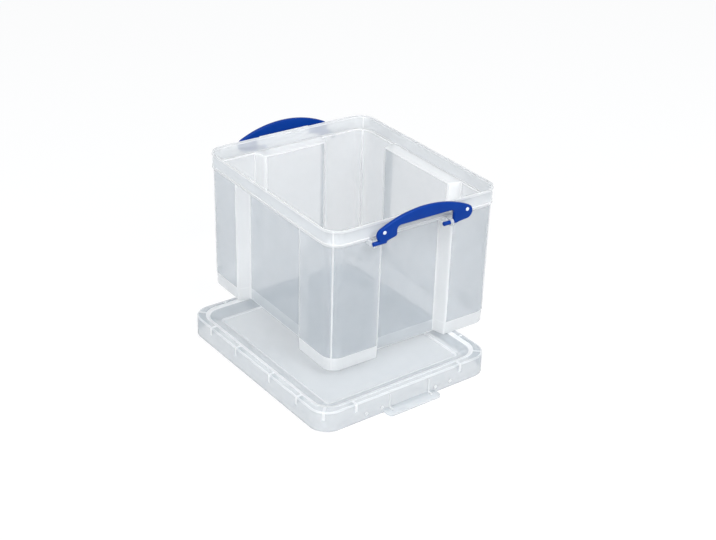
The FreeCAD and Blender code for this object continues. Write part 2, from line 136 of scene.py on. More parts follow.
class Shader:
    """The node tree of a material or of the world."""

    MIX_SHARE, MIX_FIRST, MIX_SECOND, MIX_RESULT = 0, 6, 7, 2
    CLOUD_DETAIL = 3.0
    GRAIN_DETAIL = 2.0

    def __init__(self, tree: bpy.types.NodeTree) -> None:
        """Start from an empty tree."""
        tree.nodes.clear()
        self.tree = tree

    def node(
        self,
        kind: str,
        settings: dict[str, Any] | None = None,
        sockets: dict[str | int, Any] | None = None,
    ) -> bpy.types.Node:
        """Add a node.

        Args:
            kind: The node's type.
            settings: Its own settings, which are set first.
            sockets: A number, colour, value or output socket for each input that isn't left alone.

        Returns:
            The new node.
        """
        node = self.tree.nodes.new(kind)
        for name, setting in (settings or {}).items():
            setattr(node, name, setting)
        for name, given in (sockets or {}).items():
            source = given.socket if isinstance(given, Value) else given
            if isinstance(source, Socket):
                self.tree.links.new(source, node.inputs[name])
            else:
                node.inputs[name].default_value = source
        return node

    def value(self, node: bpy.types.Node, output: str | int = 0) -> Value:
        """Wrap one of a node's outputs as a number."""
        return Value(self, node.outputs[output])

    def noise(self, where: Socket, scale: float, detail: float) -> Value:
        """Lay a noise, with so many features to the metre, that varies about a half."""
        sockets = {"Vector": where, "Scale": scale, "Detail": detail}
        return self.value(self.node("ShaderNodeTexNoise", None, sockets))

    def patterns(self, cloud_scale: float, grain_scale: float) -> tuple[Value, Value]:
        """Lay a plastic's clouds and grain on the piece.

        Args:
            cloud_scale: How many clouds a metre holds.
            grain_scale: How many grains a metre holds.

        Returns:
            The clouds and the grain.
        """
        where = self.node("ShaderNodeTexCoord").outputs["Object"]
        clouds = self.noise(where, cloud_scale, self.CLOUD_DETAIL)
        return clouds, self.noise(where, grain_scale, self.GRAIN_DETAIL)

    def milk_and_light(self) -> Value:
        """Read the whiteness that each face was given in its mesh: partly the plastic's own
        milkiness, partly painted highlights, glints and painted light.
        """
        return self.value(self.node("ShaderNodeAttribute", {"attribute_name": MILK_AND_LIGHT}), "Fac")

    def bump(self, height: Value, strength: float) -> Socket:
        """Bend the normal by a pattern that is a millimetre high at full strength."""
        sockets = {"Strength": strength, "Distance": MM, "Height": height}
        return self.node("ShaderNodeBump", None, sockets).outputs[0]

    def blend(self, share: Value, first: Paint, second: Paint) -> Socket:
        """Mix two colours, with a share of the second one."""
        sockets = {self.MIX_SHARE: share, self.MIX_FIRST: first, self.MIX_SECOND: second}
        return self.node("ShaderNodeMix", {"data_type": "RGBA"}, sockets).outputs[self.MIX_RESULT]

    def join(self, share: Value, first: bpy.types.Node, second: bpy.types.Node) -> Socket:
        """Mix two surfaces, with a share of the second one."""
        sockets = {0: share, 1: first.outputs[0], 2: second.outputs[0]}
        return self.node("ShaderNodeMixShader", None, sockets).outputs[0]

    def close(self, surface: Socket, output: str = "ShaderNodeOutputMaterial") -> None:
        """Lead a finished surface to the tree's output."""
        self.node(output, None, {"Surface": surface})

    def plastic(self, sockets: dict[str, Any]) -> None:
        """Close the tree with a Principled surface."""
        self.close(self.node("ShaderNodeBsdfPrincipled", None, sockets).outputs[0])


def new_material(name: str) -> tuple[bpy.types.Material, Shader]:
    """Make a material with an empty node tree.

    Args:
        name: Its name.

    Returns:
        The material and its tree.
    """
    material = bpy.data.materials.new(name)
    material.use_nodes = True
    return material, Shader(material.node_tree)


@dataclass(frozen=True)
class ClearPlastic:
    """Milky clear polypropylene, whiter where it is thick or seen along its face, and where its
    faces carry painted highlights and painted light.
    """

    name: str
    body: float
    tint: Colour = (0.58, 0.62, 0.655, 1.0)
    white: Colour = (0.93, 0.94, 0.95, 1.0)
    # How much more opaque whitened faces get, painted highlights and painted light included.
    whitening_opacity: float = 0.45
    grazing: float = 0.22
    grazing_power: float = 2.0
    facing_blend: float = 0.5
    cloud: float = 0.07
    cloud_middle: float = 0.5
    cloud_scale: float = 14.0
    grain_scale: float = 1500.0
    gloss: float = 0.16
    gloss_spread: float = 0.1
    bump: float = 0.02
    ior: float = 1.49
    shade: float = 0.4
    glow: float = 0.8
    glow_depth: float = 0.006
    glow_spread: tuple[float, float, float] = (1.0, 1.0, 1.0)

    def make(self) -> bpy.types.Material:
        """Make the material.

        Returns:
            The material, which reads the whiteness that each face was given in its mesh, painted
            highlights and painted light included.
        """
        material, shader = new_material(self.name)
        cloud, grain = shader.patterns(self.cloud_scale, self.grain_scale)
        milk_and_light = shader.milk_and_light()
        facing = shader.node("ShaderNodeLayerWeight", None, {"Blend": self.facing_blend})
        along = shader.value(facing, "Facing")
        shadow = shader.value(shader.node("ShaderNodeLightPath"), "Is Shadow Ray")
        seen = self.body + milk_and_light * self.whitening_opacity + along**self.grazing_power * self.grazing
        seen = seen + (cloud - self.cloud_middle) * self.cloud
        # Whitened faces blend towards white: the plastic's own milkiness, and painted highlights
        # and painted light.
        sockets = {
            "Base Color": shader.blend(milk_and_light, self.tint, self.white),
            "Roughness": self.gloss + grain * self.gloss_spread,
            "IOR": self.ior,
            "Subsurface Weight": self.glow,
            "Subsurface Radius": self.glow_spread,
            "Subsurface Scale": self.glow_depth,
            "Alpha": seen * (1.0 - shadow * (1.0 - self.shade)),
            "Normal": shader.bump(grain, self.bump),
        }
        shader.plastic(sockets)
        return material


@dataclass(frozen=True)
class BluePlastic:
    """Deep blue moulded plastic with a soft gloss, a fine moulded grain, and studs painted pale as
    their glints.
    """

    base: Colour = (0.0, 0.034, 0.26, 1.0)
    pale: Colour = (0.002, 0.05, 0.33, 1.0)
    # Painted glint: the pale colour shown on the handle's studs.
    stud_glint: Colour = (0.80, 0.86, 0.93, 1.0)
    cloud_scale: float = 30.0
    grain_scale: float = 1800.0
    gloss: float = 0.24
    gloss_spread: float = 0.16
    bump: float = 0.10
    ior: float = 1.5
    shine: float = 0.1

    def make(self) -> bpy.types.Material:
        """Make the material.

        Returns:
            The material, which paints a pale glint colour on the studs, the faces that were given
            milk.
        """
        material, shader = new_material(Slot.BLUE.value)
        cloud, grain = shader.patterns(self.cloud_scale, self.grain_scale)
        blue = shader.blend(cloud, self.base, self.pale)
        # The studs, which carry full whiteness, take the painted glint colour.
        sockets = {
            "Base Color": shader.blend(shader.milk_and_light(), blue, self.stud_glint),
            "Roughness": self.gloss + grain * self.gloss_spread,
            "IOR": self.ior,
            "Specular IOR Level": self.shine,
            "Normal": shader.bump(grain, self.bump),
        }
        shader.plastic(sockets)
        return material


# Modelling


def verts_of(items: Iterable[Any]) -> list[BMVert]:
    """Pick the points out of what an operator made."""
    return [item for item in items if isinstance(item, BMVert)]


def height_of(face: BMFace) -> float:
    """Give the height of a face's middle."""
    return face.calc_center_median().z


def show(name: str, data: bpy.types.ID) -> bpy.types.Object:
    """Add an object to the scene.

    Args:
        name: Its name.
        data: Its mesh, lamp or camera.

    Returns:
        The object, at the origin.
    """
    shown = bpy.data.objects.new(name, data)
    bpy.context.scene.collection.objects.link(shown)
    return shown


@dataclass(frozen=True)
class Place:
    """Where a moulding's own origin stands in the shared frame, and its turn about the upright."""

    x: float
    y: float
    z: float
    turn: float = 0.0

    def matrix(self) -> Matrix:
        """Give the transform from the moulding's millimetres to the shared frame's metres."""
        moved = Matrix.Translation(Vector((self.x, self.y, self.z)) * MM)
        return moved @ Matrix.Rotation(math.radians(self.turn), 4, "Z") @ Matrix.Scale(MM, 4)


@dataclass(frozen=True)
class RoundRect:
    """A level rectangle with round corners, about the upright axis."""

    half_x: float
    half_y: float
    radius: float
    slack: float = 0.1

    def grown(self, by: float) -> RoundRect:
        """Give the rectangle whose outline lies outside this one by a distance."""
        return RoundRect(self.half_x + by, self.half_y + by, self.radius + by)

    def holds(self, vert: BMVert) -> bool:
        """Tell whether a point lies within the rectangle's two spans."""
        spans = self.half_x + self.slack, self.half_y + self.slack
        return abs(vert.co.x) < spans[0] and abs(vert.co.y) < spans[1]

    def centre(self, side_x: float, side_y: float, height: float) -> Vector:
        """Give the centre of the round corner on two sides, which are signs, at a height."""
        reach_x, reach_y = self.half_x - self.radius, self.half_y - self.radius
        return Vector((side_x * reach_x, side_y * reach_y, height))

    def corner_points(self) -> list[tuple[Vector, Vector]]:
        """List the round corners.

        Returns:
            For each corner the middle of its outline, at a height of 0, and where it faces.
        """
        points = []
        for sides in CORNERS:
            outward = Vector((*sides, 0.0)).normalized()
            points.append((self.centre(*sides, 0.0) + outward * self.radius, outward))
        return points

    def carry(self, verts: Iterable[BMVert], to: RoundRect, height: float) -> None:
        """Move the points of this outline to the same points of another one.

        Args:
            verts: The points.
            to: The outline that they are moved to.
            height: The height that they are moved to.
        """
        for vert in verts:
            sides = math.copysign(1.0, vert.co.x), math.copysign(1.0, vert.co.y)
            away = vert.co - self.centre(*sides, vert.co.z)
            vert.co = to.centre(*sides, height) + away * (to.radius / self.radius)


class Moulding:
    """A mesh in the making, in millimetres, whose faces hold how milky each of them looks, painted
    highlights and painted light included.
    """

    SHARP = math.radians(20.0)
    SMOOTH = math.radians(34.0)
    BEND = math.radians(6.0)
    STRIP = 2.6
    LEVEL = 0.01
    MERGE = 0.001
    CUT = 0.0001
    ROD_SIDES = 32
    ROD_STEPS = 3

    def __init__(self) -> None:
        """Start empty."""
        self.bm = bmesh.new()
        self.milk_and_light = self.bm.faces.layers.float.new(MILK_AND_LIGHT)

    def faces_since(self, before: set[BMFace]) -> list[BMFace]:
        """List the faces that weren't there before."""
        return [face for face in self.bm.faces if face not in before]

    def round_corners(self, verts: Sequence[BMVert], reach: float, segments: int) -> None:
        """Round the corners of a flat outline.

        Args:
            verts: The corners.
            reach: How far along its edges each round starts.
            segments: How many edges the round has.
        """
        bmesh.ops.bevel(
            self.bm, geom=list(verts), offset=reach, offset_type="ABSOLUTE", affect="VERTICES",
            segments=segments, profile=0.5, clamp_overlap=False, material=-1,
        )

    def round_edges(self, edges: Iterable[BMEdge], radius: float, segments: int) -> list[BMFace]:
        """Round edges between faces.

        Args:
            edges: The edges.
            radius: How far from each edge the round starts.
            segments: How many faces the round has.

        Returns:
            The faces of the round.
        """
        made = bmesh.ops.bevel(
            self.bm, geom=list(edges), offset=radius, offset_type="OFFSET", affect="EDGES",
            segments=segments, profile=0.5, clamp_overlap=False, material=-1,
        )
        return made["faces"]

    def is_sharp(self, edge: BMEdge) -> bool:
        """Tell whether two faces meet at an angle."""
        return edge.is_manifold and edge.calc_face_angle() > self.SHARP

    def is_level(self, edge: BMEdge, height: float) -> bool:
        """Tell whether an edge lies at a height."""
        return all(abs(vert.co.z - height) < self.LEVEL for vert in edge.verts)

    def level_edges(self, height: float) -> list[BMEdge]:
        """List the sharp edges that run level at a height."""
        sharp = (edge for edge in self.bm.edges if self.is_sharp(edge))
        return [edge for edge in sharp if self.is_level(edge, height)]

    def raise_rim(self) -> list[BMVert]:
        """Draw new faces from the open rim, and give its new points, still on the old ones."""
        rim = [edge for edge in self.bm.edges if edge.is_boundary]
        return verts_of(bmesh.ops.extrude_edge_only(self.bm, edges=rim)["geom"])

    def part_off(self, faces: Sequence[BMFace], point: Vector, normal: Vector) -> None:
        """Split faces along a plane.

        Args:
            faces: The faces.
            point: A point of the plane.
            normal: The plane's normal.
        """
        edges = {edge for face in faces for edge in face.edges}
        verts = {vert for face in faces for vert in face.verts}
        bmesh.ops.bisect_plane(
            self.bm, geom=[*verts, *edges, *faces], dist=self.CUT, plane_co=point, plane_no=normal
        )

    def thicken(self, wall: float) -> None:
        """Give the surface a wall's thickness, inwards."""
        bmesh.ops.recalc_face_normals(self.bm, faces=self.bm.faces)
        bmesh.ops.solidify(self.bm, geom=self.bm.faces[:], thickness=wall)

    def draw_out(
        self, face: BMFace, along: Vector, rounding: float, segments: int = 2, milk_and_light: float = 0.0
    ) -> None:
        """Draw a flat face out to a solid.

        Args:
            face: The face.
            along: The step to the opposite face.
            rounding: How far the edges between flat sides are rounded.
            segments: How many faces each round has.
            milk_and_light: How milky the solid looks.
        """
        made = bmesh.ops.extrude_face_region(self.bm, geom=[face], use_keep_orig=True)["geom"]
        moved = verts_of(made)
        bmesh.ops.translate(self.bm, verts=moved, vec=along)
        shell = {side for vert in moved for side in vert.link_faces} | {face}
        self.whiten_faces(shell, milk_and_light)
        bmesh.ops.recalc_face_normals(self.bm, faces=list(shell))
        sharp = {edge for side in shell for edge in side.edges if self.is_sharp(edge)}
        self.round_edges(sharp, rounding, segments)

    def plate(
        self, corners: Sequence[Sequence[float]], along: Vector, rounding: float, milk_and_light: float
    ) -> None:
        """Add a flat plate, from its outline and the step to its opposite face."""
        face = self.bm.faces.new([self.bm.verts.new(corner) for corner in corners])
        self.draw_out(face, along, rounding, milk_and_light=milk_and_light)

    def spin(
        self,
        geom: Sequence[BMVert | BMEdge],
        centre: Vector,
        axis: Vector,
        degrees: float,
        steps: int,
        closed: bool = False,
    ) -> list[BMVert]:
        """Turn points and edges about an axis, and join each step to the one before.

        Args:
            geom: The points and edges.
            centre: A point of the axis.
            axis: The axis.
            degrees: How far they turn.
            steps: How many steps that takes.
            closed: Whether the last step is merged with the first.

        Returns:
            The last step's points.
        """
        made = bmesh.ops.spin(
            self.bm, geom=list(geom), cent=centre, axis=axis, dvec=ORIGIN, steps=steps,
            angle=math.radians(degrees), space=Matrix(), use_merge=closed, use_normal_flip=False,
            use_duplicate=False,
        )
        return verts_of(made["geom_last"])

    def rod(
        self, start: Vector, stop: Vector, radius: float, rounding: float, milk_and_light: float = 0.0
    ) -> None:
        """Add a round rod.

        Args:
            start: The middle of one end.
            stop: The middle of the other end.
            radius: Its radius.
            rounding: How far its end edges are rounded.
            milk_and_light: How milky it looks.
        """
        turn = Z_AXIS.rotation_difference(stop - start).to_matrix().to_4x4()
        verts = bmesh.ops.create_cone(
            self.bm, cap_ends=True, cap_tris=False, segments=self.ROD_SIDES, radius1=radius,
            radius2=radius, depth=(stop - start).length,
            matrix=Matrix.Translation((start + stop) / 2) @ turn,
        )["verts"]
        self.whiten_faces({face for vert in verts for face in vert.link_faces}, milk_and_light)
        sharp = {edge for vert in verts for edge in vert.link_edges if self.is_sharp(edge)}
        self.round_edges(sharp, rounding, self.ROD_STEPS)

    def whiten_faces(self, faces: Iterable[BMFace], milk_and_light: float) -> None:
        """Make faces at least somewhat milky."""
        for face in faces:
            face[self.milk_and_light] = max(face[self.milk_and_light], milk_and_light)

    def whiten_level(self, low: float, high: float, milk_and_light: float) -> None:
        """Make every face between two heights at least somewhat milky."""
        self.whiten_faces((face for face in self.bm.faces if low < height_of(face) < high), milk_and_light)

    def paint_bend_highlights(self, milk_and_light: float) -> None:
        """Make the narrow strips of rounded edges milky: painted highlights along the bends.

        Args:
            milk_and_light: How milky they look.
        """
        for face in self.bm.faces:
            longest = max(edge.calc_length() for edge in face.edges)
            sides = [edge for edge in face.edges if edge.calc_length() > longest / 2]
            bend = max(edge.calc_face_angle(0.0) for edge in sides)
            if face.calc_area() < self.STRIP * longest and bend > self.BEND:
                self.whiten_faces([face], milk_and_light)

    def mark_strip(
        self, foot: Vector, outward: Vector, width: float, depth: float, low: float
    ) -> list[BMFace]:
        """Part off an upright strip of the outer surface and what lies over it.

        Args:
            foot: A point of the outside in the strip's middle.
            outward: The level direction that the outside faces there.
            width: The strip's width.
            depth: How far inwards the strip reaches.
            low: The strip's lower end.

        Returns:
            The strip's faces.
        """
        along = outward.cross(Z_AXIS)

        def is_near(face: BMFace, aside: float) -> bool:
            """Tell whether a face lies within the depth and within a distance of the middle."""
            middle = face.calc_center_median() - foot
            return middle.dot(outward) > -depth and abs(middle.dot(along)) < aside

        def near(aside: float) -> list[BMFace]:
            """List the faces within the depth and within a distance of the middle."""
            return [face for face in self.bm.faces if is_near(face, aside)]

        for aside in (-width / 2, width / 2):
            self.part_off(near(math.inf), foot + along * aside, along)
        self.part_off(near(width / 2), Z_AXIS * low, Z_AXIS)
        return [face for face in near(width / 2) if height_of(face) > low]

    def settle(self, name: str, place: Place, material: bpy.types.Material) -> bpy.types.Object:
        """Turn the mesh into an object in the shared frame.

        Args:
            name: The piece's name.
            place: Where it stands.
            material: Its finish.

        Returns:
            The object, at the origin with its place in its mesh.
        """
        mesh = bpy.data.meshes.new(name)
        self.bm.to_mesh(mesh)
        self.bm.free()
        mesh.transform(place.matrix())
        mesh.materials.append(material)
        mesh.shade_smooth()
        mesh.set_sharp_from_angle(angle=self.SMOOTH)
        return show(name, mesh)


# Sub-assemblies


def enter(piece: bpy.types.Object, node: str) -> None:
    """Let a piece stand for the CAD node, and ride the body, of one name.

    Args:
        piece: The piece.
        node: The name of the node and of its body.
    """
    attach(piece, node)
    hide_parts(node)
    LOG.info("%s: %d faces for %s", piece.name, len(piece.data.polygons), node)


@dataclass
class Tub:
    """The tub: recessed walls between pillars, drawn-in feet, a rim band, and lugs for the pins."""

    half_length: float = 220.0
    half_width: float = 189.5
    corner: float = 32.0
    corner_steps: int = 10
    height: float = 289.0
    rim_depth: float = 32.0
    wall: float = 2.4
    recess_depth: float = 28.0
    recess_slant: float = 7.0
    side_half: float = 104.0
    end_half: float = 72.0
    pillar_round: float = 3.1
    pillar_steps: int = 4
    foot_height: float = 27.0
    sole_in: float = 4.8
    ankle_in: float = 3.8
    shin_in: float = 3.0
    neck_in: float = 1.8
    lip_out: float = 1.2
    lip_height: float = 5.0
    foot_round: float = 3.0
    foot_steps: int = 4
    step_round: float = 0.35
    edge_round: float = 0.6
    edge_steps: int = 2
    pivot_x: float = 239.3
    pin_hole: float = 4.05
    eye_radius: float = 6.45
    eye_steps: int = 28
    lug_thick: float = 6.0
    lug_round: float = 0.4
    arm_top: float = 2.0
    arm_meets_eye: tuple[float, float] = (0.65, 0.76)
    lug_place: float = 56.5
    lug_root: float = 202.0
    clip_place: float = -114.5
    clip_root: float = 217.0
    clip_gap: float = 140.0
    clip_lean: float = 32.0
    lug_milk: float = 0.5
    rim_milk: float = 0.55
    lip_milk: float = 0.85
    # Partly the floor's and feet's own frosted white, partly painted light that brightens them
    # where they lie in shade.
    floor_milk_and_light: float = 0.3
    foot_milk_and_light: float = 0.9
    # Painted light: how milky the slanted walls beside the recesses look, as if lit through.
    slant_glow: float = 0.95
    slant_clear: float = 1.0
    slant_facing: float = 0.8
    slant_rise: float = 0.5
    # Painted highlight: how milky the line down each pillar's round corner is, and its width.
    corner_highlight: float = 0.6
    corner_highlight_width: float = 3.0
    line: float = 1.4

    @property
    def rim_bottom(self) -> float:
        """Give the height of the rim band's lower edge."""
        return self.height - self.rim_depth

    def lay_floor(self, form: Moulding) -> None:
        """Lay one quarter of the floor, round its corners and mirror it to the whole.

        Args:
            form: The mesh that it goes into.
        """
        bm = form.bm
        near_x, near_y = self.half_length - self.recess_depth, self.half_width - self.recess_depth
        beside_end = self.end_half + self.recess_slant
        beside_side = self.side_half + self.recess_slant
        corner = (self.half_length, self.half_width)
        end_bends = [(near_x, self.end_half), (self.half_length, beside_end)]
        side_bends = [(beside_side, self.half_width), (self.side_half, near_y)]
        outline = [(0.0, 0.0), (near_x, 0.0), *end_bends, corner, *side_bends, (0.0, near_y)]
        verts = {place: bm.verts.new((*place, 0.0)) for place in outline}
        bm.faces.new(verts.values())
        form.round_corners([verts[corner]], self.corner, self.corner_steps)
        bends = [verts[place] for place in end_bends + side_bends]
        form.round_corners(bends, self.pillar_round, self.pillar_steps)
        for axis in "XY":
            whole = [*bm.verts, *bm.edges, *bm.faces]
            bmesh.ops.mirror(bm, geom=whole, matrix=Matrix(), merge_dist=form.MERGE, axis=axis)
        bmesh.ops.dissolve_faces(bm, faces=bm.faces[:], use_verts=False)

    def draw_in(self, verts: Iterable[BMVert], now: float, then: float) -> None:
        """Move the outer faces in or out, while the recessed walls stay where they are.

        Args:
            verts: A ring of points.
            now: How far inside the rim band its outer faces lie.
            then: How far inside they are to lie.
        """
        grow = (self.recess_depth - then) / (self.recess_depth - now)
        for vert in verts:
            for axis, half in enumerate((self.half_length, self.half_width)):
                inner = half - self.recess_depth
                reach = abs(vert.co[axis]) - inner
                if reach > 0.0:
                    vert.co[axis] = math.copysign(inner + reach * grow, vert.co[axis])

    def bridge_recesses(self, verts: Iterable[BMVert], inset: float) -> None:
        """Bring a ring straight across the four recesses, as the rim band runs.

        Args:
            verts: The ring's points.
            inset: How far inside the rim band its outer faces lie.
        """
        spare = self.recess_slant + 2 * self.pillar_round
        for vert in verts:
            if abs(vert.co.x) < self.side_half + spare:
                vert.co.y = math.copysign(self.half_width - inset, vert.co.y)
            elif abs(vert.co.y) < self.end_half + spare:
                vert.co.x = math.copysign(self.half_length - inset, vert.co.x)

    def draw_walls(self, form: Moulding) -> None:
        """Draw the walls up from the floor: feet, pillars, the band's ledge, the band and its lips.

        Args:
            form: The mesh that holds the floor.
        """
        lip_low, lip_high = self.rim_bottom + self.lip_height, self.height - self.lip_height
        stations = [
            (self.foot_height - self.line, self.ankle_in),
            (self.foot_height, self.ankle_in),
            (self.foot_height, self.shin_in),
            (self.foot_height + self.line, self.shin_in),
            (self.rim_bottom, self.neck_in),
            (self.rim_bottom, -self.lip_out),
            (lip_low, -self.lip_out),
            (lip_low, 0.0),
            (lip_high, 0.0),
            (lip_high, -self.lip_out),
            (self.height, -self.lip_out),
        ]
        self.draw_in(form.bm.verts, 0.0, self.sole_in)
        now = self.sole_in
        for height, then in stations:
            verts = form.raise_rim()
            self.draw_in(verts, now, then)
            if now == self.neck_in:
                self.bridge_recesses(verts, then)
            for vert in verts:
                vert.co.z = height
            now = then
        bmesh.ops.remove_doubles(form.bm, verts=form.bm.verts[:], dist=form.MERGE)
        form.round_edges(form.level_edges(0.0), self.foot_round, self.foot_steps)
        for height in (self.rim_bottom, lip_low, lip_high):
            form.round_edges(form.level_edges(height), self.step_round, self.edge_steps)

    def paint_corner_highlights(self, form: Moulding) -> None:
        """Paint a highlight line down the middle of each pillar's round corner, as a milky strip.

        Args:
            form: The mesh that holds the walls' outer surface.
        """
        outline = RoundRect(self.half_length, self.half_width, self.corner)
        for foot, outward in outline.corner_points():
            width, depth = self.corner_highlight_width, self.corner
            strip = form.mark_strip(foot, outward, width, depth, self.foot_height)
            below = (face for face in strip if height_of(face) < self.rim_bottom)
            form.whiten_faces(below, self.corner_highlight)

    def whiten_feet(self, form: Moulding) -> None:
        """Make the feet milky, and the floor between them a little: partly these parts' own frosted
        white, partly painted light that brightens them where they lie in shade.

        Args:
            form: The mesh that holds the walls.
        """
        form.whiten_level(0.0, self.foot_height, self.floor_milk_and_light)
        clear = self.recess_depth - self.recess_slant
        for face in form.bm.faces:
            x, y, z = (abs(value) for value in face.calc_center_median())
            outer = x > self.half_length - clear or y > self.half_width - clear
            if z < self.foot_height and outer:
                form.whiten_faces([face], self.foot_milk_and_light)

    def paint_slant_glow(self, form: Moulding) -> None:
        """Make the slanted walls beside the recesses milky: painted light, the glow of light
        through the frosted plastic that they show seen along their length.

        Args:
            form: The mesh that holds the walls.
        """
        near = 2 * self.recess_slant
        deep = self.recess_depth - self.slant_clear
        for face in form.bm.faces:
            x, y, z = (abs(value) for value in face.calc_center_median())
            facing_x, facing_y, rise = (abs(value) for value in face.normal)
            beside_side = abs(x - self.side_half) < near and y > self.half_width - deep
            beside_end = abs(y - self.end_half) < near and x > self.half_length - deep
            slanted = max(facing_x * beside_side, facing_y * beside_end) > self.slant_facing
            if z < self.rim_bottom and rise < self.slant_rise and slanted:
                form.whiten_faces([face], self.slant_glow)

    def lug(self, form: Moulding, start: float, root: float, gap: float = 0.0) -> None:
        """Add one lug at the front end: an eye for the pin on an arm from under the rim band.

        Args:
            form: The mesh that it goes into.
            start: Where the lug's lower side lies along the pin.
            root: Where its arm starts, inside the tub's wall.
            gap: How many degrees of the eye are open to the front.
        """
        bm = form.bm
        eye, thick = Vector((self.pivot_x, start, self.rim_bottom)), Y_AXIS * self.lug_thick
        first = Matrix.Rotation(-math.radians(self.clip_lean + gap / 2), 3, "Y") @ X_AXIS
        near, far = eye + first * self.pin_hole, eye + first * self.eye_radius
        section = [bm.verts.new(place) for place in (near, far, far + thick, near + thick)]
        loop = [bm.edges.new(pair) for pair in zip([section[-1], *section], section)]
        before = set(bm.faces)
        form.spin([*section, *loop], eye, -Y_AXIS, 360.0 - gap, self.eye_steps, gap == 0.0)
        tips = [edge for edge in bm.edges if edge.is_boundary]
        bmesh.ops.holes_fill(bm, edges=tips, sides=len(section))
        ring = form.faces_since(before)
        bmesh.ops.recalc_face_normals(bm, faces=ring)
        form.whiten_faces(ring, self.lug_milk)
        wall = self.eye_radius - self.pin_hole
        inside = self.pin_hole + wall / 2
        meet_x, meet_z = self.arm_meets_eye
        arm = [
            (root, self.arm_top),
            (self.pivot_x - inside, self.arm_top),
            (self.pivot_x - inside, -wall / 2),
            (self.pivot_x - inside * meet_x, -inside * meet_z),
            (self.pivot_x, -self.eye_radius),
            (root, -self.eye_radius),
        ]
        corners = [(x, start, self.rim_bottom + z) for x, z in arm]
        form.plate(corners, thick, self.lug_round, self.lug_milk)

    def add_lugs(self, form: Moulding) -> None:
        """Add the front end's closed lug and open clip, and the rear end's as their half turn.

        Args:
            form: The mesh that they go into.
        """
        before = set(form.bm.faces)
        self.lug(form, self.lug_place, self.lug_root)
        self.lug(form, self.clip_place, self.clip_root, self.clip_gap)
        copied = bmesh.ops.duplicate(form.bm, geom=form.faces_since(before))["geom"]
        half_turn = Matrix.Rotation(math.pi, 3, "Z")
        bmesh.ops.rotate(form.bm, verts=verts_of(copied), cent=ORIGIN, matrix=half_turn)

    def build(self, place: Place, material: bpy.types.Material) -> None:
        """Model the tub, dress it and enter it.

        Args:
            place: Where it stands.
            material: Its finish.
        """
        form = Moulding()
        self.lay_floor(form)
        self.draw_walls(form)
        # Painted highlight lines down the round corners.
        self.paint_corner_highlights(form)
        form.thicken(self.wall)
        form.round_edges(form.level_edges(self.height), self.edge_round, self.edge_steps)
        form.whiten_level(self.rim_bottom, self.height, self.rim_milk)
        form.whiten_level(self.rim_bottom, self.rim_bottom + self.lip_height, self.lip_milk)
        form.whiten_level(self.height - self.lip_height, math.inf, self.lip_milk)
        # Feet and floor: their own frosted white and painted light.
        self.whiten_feet(form)
        # Painted light on the slanted walls.
        self.paint_slant_glow(form)
        # Painted highlights along the tub's rounded edges.
        form.paint_bend_highlights(FULL_MILK_AND_LIGHT)
        self.add_lugs(form)
        enter(form.settle("tub_shell", place, material), "tub")


